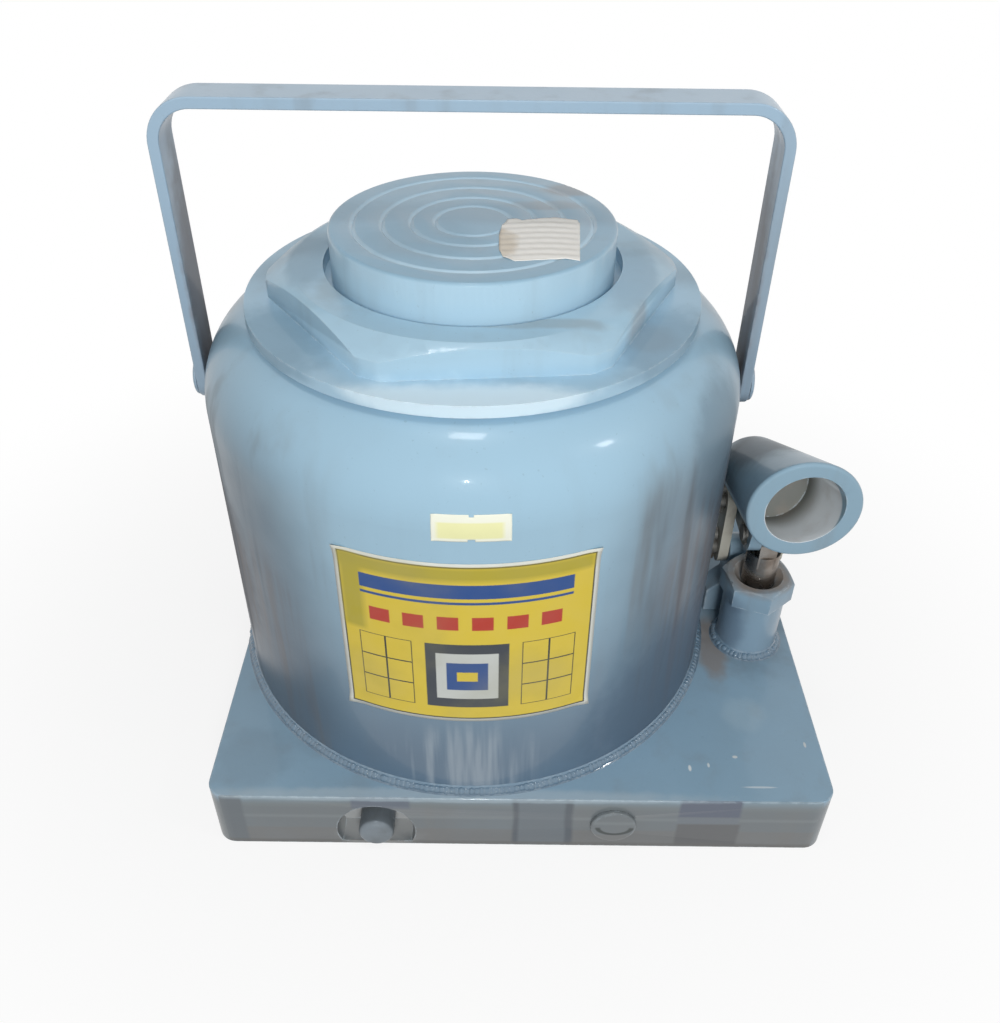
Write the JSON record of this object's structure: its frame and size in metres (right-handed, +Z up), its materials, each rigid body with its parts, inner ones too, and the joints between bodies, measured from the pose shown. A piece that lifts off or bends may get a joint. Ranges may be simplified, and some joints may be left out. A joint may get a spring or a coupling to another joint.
{
  "type": "hydraulic bottle jack",
  "caption": "Hydraulic bottle jack: round tank on a thick base plate, large ram saddle under a carrying bail, and a side hand pump with handle socket and links.",
  "frame": {"origin": "on the ram's axis, at the underside of the base plate", "axes": "+Z up along the ram, -Y the front with the release valve, +X the side with the hand pump"},
  "size_m": [0.2891, 0.2452, 0.299],
  "materials": {
    "enamel": "gloss",
    "steel": "satin",
    "plunger_steel": "gloss",
    "link_steel": "satin",
    "bronze": "satin",
    "seal": "matte"
  },
  "bodies": {
    "jack": {"base_plate": "enamel", "reservoir_tank": "enamel", "tank_weld_bead": "enamel", "cylinder_foot_seal": "bronze", "pressure_cylinder": "steel", "ram_guide_ring": "bronze", "ram_rod_seal": "seal", "gland_nut": "enamel", "ram_wiper": "seal", "tank_top_seal": "seal", "bail_pivot_studs": "enamel", "pump_barrel": "enamel", "pump_weld_bead": "enamel", "pump_packing": "seal", "pump_gland": "enamel", "fulcrum_post": "enamel", "lower_link_pin": "steel", "lower_split_pins": "steel", "gallery_plugs": "steel", "suction_ball": "steel", "suction_spring": "steel", "suction_strainer": "bronze", "delivery_ball": "steel", "release_ball": "steel", "release_packing": "seal", "overload_ball": "steel", "overload_spring": "steel", "overload_plug": "enamel", "filler_plug": "seal"},
    "ram": {"ram_rod": "steel", "piston_seal": "seal", "saddle": "enamel", "saddle_snap_ring": "steel"},
    "bail": {"bail_handle": "enamel"},
    "plunger": {"pump_plunger": "plunger_steel", "plunger_pin": "steel", "plunger_pin_clip": "steel"},
    "socket": {"handle_socket": "enamel", "upper_link_pin": "steel", "upper_split_pins": "steel"},
    "link": {"link_plate_inner": "link_steel", "link_plate_outer": "link_steel"},
    "release_valve": {"release_screw": "steel"}
  },
  "joints": [
    {"name": "ram_lift", "type": "slide", "parent": "jack", "child": "ram", "axis": [0, 0, 1], "range_m": [0, 0.042]},
    {"name": "bail_swing", "type": "hinge", "parent": "jack", "child": "bail", "pos_m": [0, 0, 0.1772], "axis": [1, 0, 0], "range_deg": [-70, 42]},
    {"name": "pump_stroke", "type": "slide", "parent": "jack", "child": "plunger", "axis": [0, 0, 1], "range_m": [0, 0.012]},
    {"name": "socket_swing", "type": "hinge", "parent": "plunger", "child": "socket", "pos_m": [0.141, -0.018, 0.104], "axis": [1, 0, 0], "range_deg": [-27.6, 0]},
    {"name": "link_swing", "type": "hinge", "parent": "jack", "child": "link", "pos_m": [0.141, 0.008, 0.074], "axis": [1, 0, 0], "range_deg": [0, 4.8]},
    {"name": "release_turn", "type": "hinge", "parent": "jack", "child": "release_valve", "pos_m": [-0.0425, -0.1211, 0.01], "axis": [0, -1, 0], "range_deg": [0, 180]}
  ],
  "couplings": [
    {"joint": "socket_swing", "follows": "pump_stroke", "rad_per_m": -39.98},
    {"joint": "link_swing", "follows": "pump_stroke", "rad_per_m": 6.94}
  ]
}
